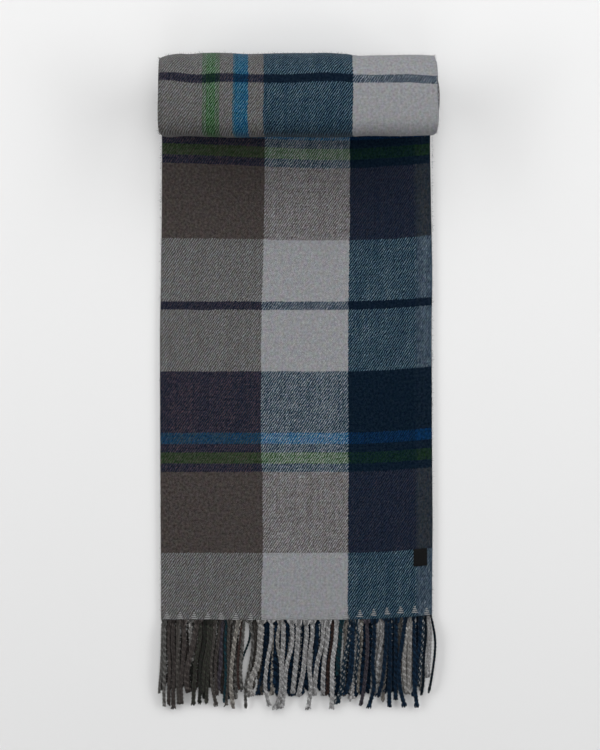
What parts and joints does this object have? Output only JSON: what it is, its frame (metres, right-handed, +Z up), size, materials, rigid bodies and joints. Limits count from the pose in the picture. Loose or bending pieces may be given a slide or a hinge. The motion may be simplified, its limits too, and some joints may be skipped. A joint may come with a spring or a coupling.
{
  "type": "tartan blanket scarf, folded and half rolled",
  "caption": "Tartan blanket scarf folded once lengthwise, lying flat with a twisted tassel fringe and rolled up from its far end.",
  "frame": {"origin": "middle of the footprint, on the surface the scarf lies on", "axes": "+X across the scarf from its lengthwise fold to its selvedges, +Y along the warp from the fringe to the roll, +Z up"},
  "size_m": [0.3603, 0.8424, 0.1025],
  "materials": {
    "checked_wool": "matte brushed twill in a grey, brown and navy check",
    "tassel_wool": "matte two-ply twisted wool",
    "label_tape": "plain black woven tape"
  },
  "bodies": {
    "root": {"upper_layer": "checked_wool", "lower_layer": "checked_wool", "roll_wrap": "checked_wool", "roll_core": "checked_wool", "fringe_upper": "tassel_wool", "fringe_lower": "tassel_wool", "label": "label_tape"}
  },
  "joints": []
}
